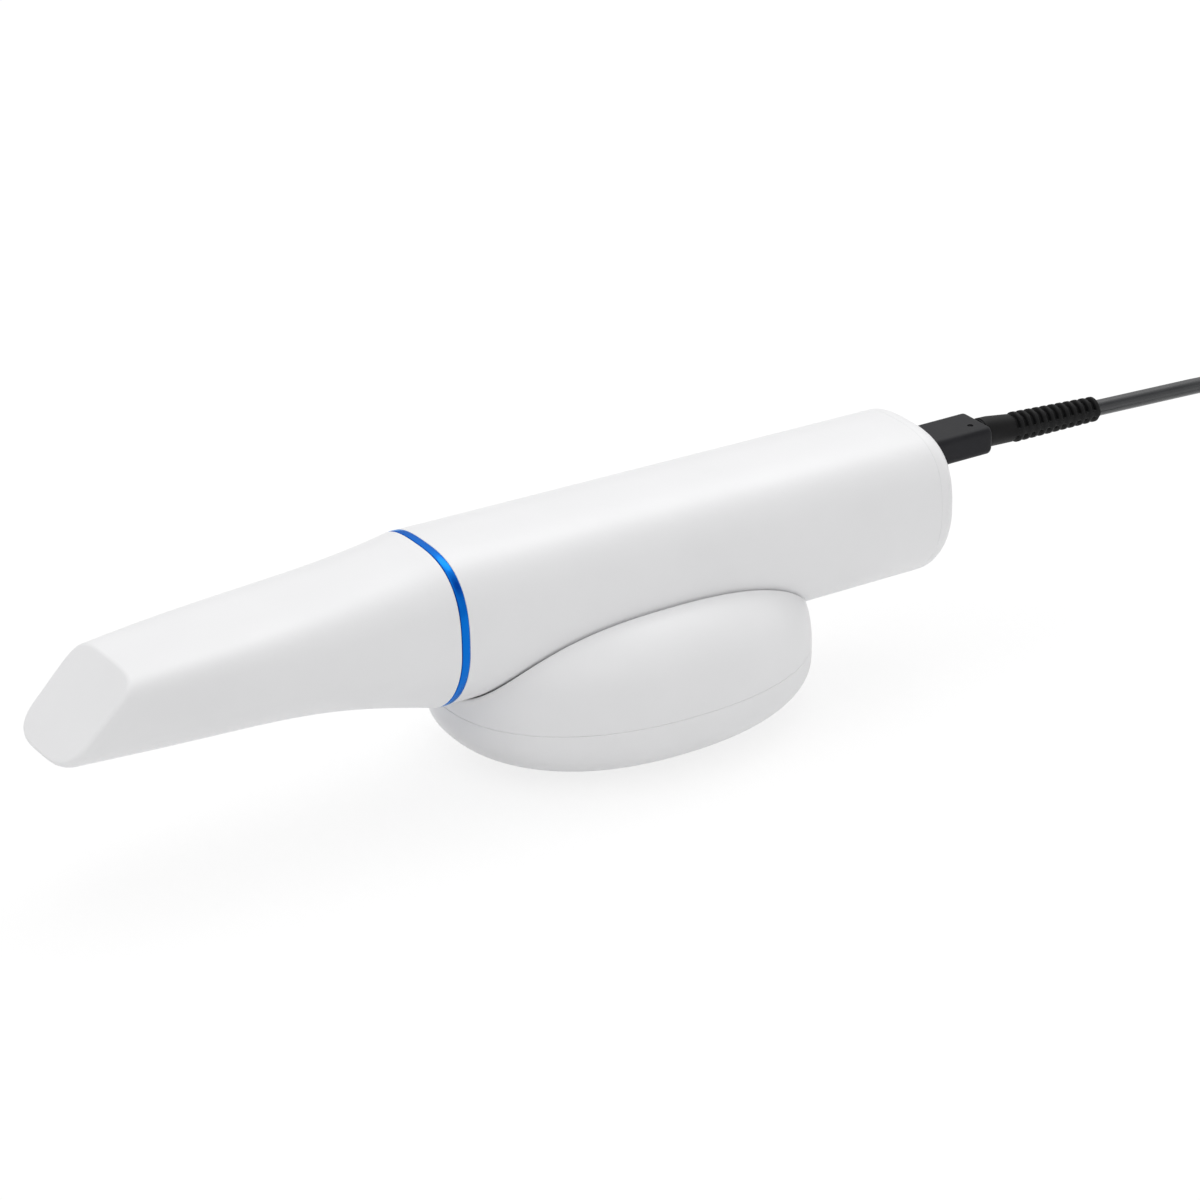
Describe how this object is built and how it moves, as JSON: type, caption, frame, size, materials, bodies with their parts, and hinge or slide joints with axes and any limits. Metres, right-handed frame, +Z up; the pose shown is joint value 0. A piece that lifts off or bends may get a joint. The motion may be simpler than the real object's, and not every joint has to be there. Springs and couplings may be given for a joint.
{
  "type": "intraoral scanner",
  "caption": "White wand scanner for the mouth with a removable slant-ended tip, blue ring and corded rear end, resting in a pebble-shaped desk cradle.",
  "frame": {"origin": "on the table under the middle of the handpiece's length", "axes": "+X along the handpiece from the scan tip to the cable, +Z up from the table, +Y across"},
  "size_m": [0.4139, 0.0951, 0.0595],
  "materials": {
    "white_gloss": "smooth moulded white ABS with a satin gloss",
    "blue_ring": "blue anodised aluminium, polished",
    "mirror_glass": "front-surface mirror",
    "clear_glass": "polished optical glass",
    "black_plastic": "moulded black plastic, fine matt",
    "black_rubber": "black elastomer, matt",
    "cable_jacket": "dark grey extruded jacket, satin",
    "cast_aluminium": "die cast, bead blasted",
    "circuit_board": "green solder mask",
    "chip_plastic": "black moulded packages",
    "plain_steel": "nickel plated steel",
    "insert_plastic": "blue moulded insulator",
    "strap_fabric": "woven hook and loop strap"
  },
  "bodies": {
    "handpiece": {"body_shell": "white_gloss", "rear_cap": "white_gloss", "cradle_shell": "white_gloss", "cradle_base": "white_gloss", "accent_ring": "blue_ring", "nose_window": "clear_glass", "projector_lens": "clear_glass", "camera_lens": "clear_glass", "nose_barrel": "black_plastic", "projector_barrel": "black_plastic", "camera_barrel": "black_plastic", "plug_body": "black_plastic", "host_plug_grip": "black_plastic", "retainer_band": "black_rubber", "foot_pad": "black_rubber", "strain_relief": "black_rubber", "cable_run": "cable_jacket", "cable_coil": "cable_jacket", "cable_tail": "cable_jacket", "optics_frame": "cast_aluminium", "led_heat_sink": "cast_aluminium", "heat_spreader": "cast_aluminium", "sensor_board": "circuit_board", "led_board": "circuit_board", "main_board": "circuit_board", "button_board": "circuit_board", "image_sensor": "chip_plastic", "led_emitter": "chip_plastic", "processor": "chip_plastic", "button_switch": "chip_plastic", "cable_socket": "plain_steel", "plug_tongue": "plain_steel", "host_plug_shell": "plain_steel", "frame_screws": "plain_steel", "board_screws": "plain_steel", "cap_screws": "plain_steel", "cradle_screws": "plain_steel", "cradle_ballast": "plain_steel", "host_plug_insert": "insert_plastic", "coil_tie": "strap_fabric"},
    "tip": {"tip_sleeve": "white_gloss", "tip_mirror": "mirror_glass"},
    "button": {"scan_button": "white_gloss"}
  },
  "joints": [
    {"name": "tip_pull_off", "type": "slide", "parent": "handpiece", "child": "tip", "axis": [-1, 0, 0], "range_m": [0, 0.06]},
    {"name": "button_press", "type": "slide", "parent": "handpiece", "child": "button", "axis": [0, 0, 1], "range_m": [0, 0.0008], "stiffness_N_per_m": 1500}
  ]
}
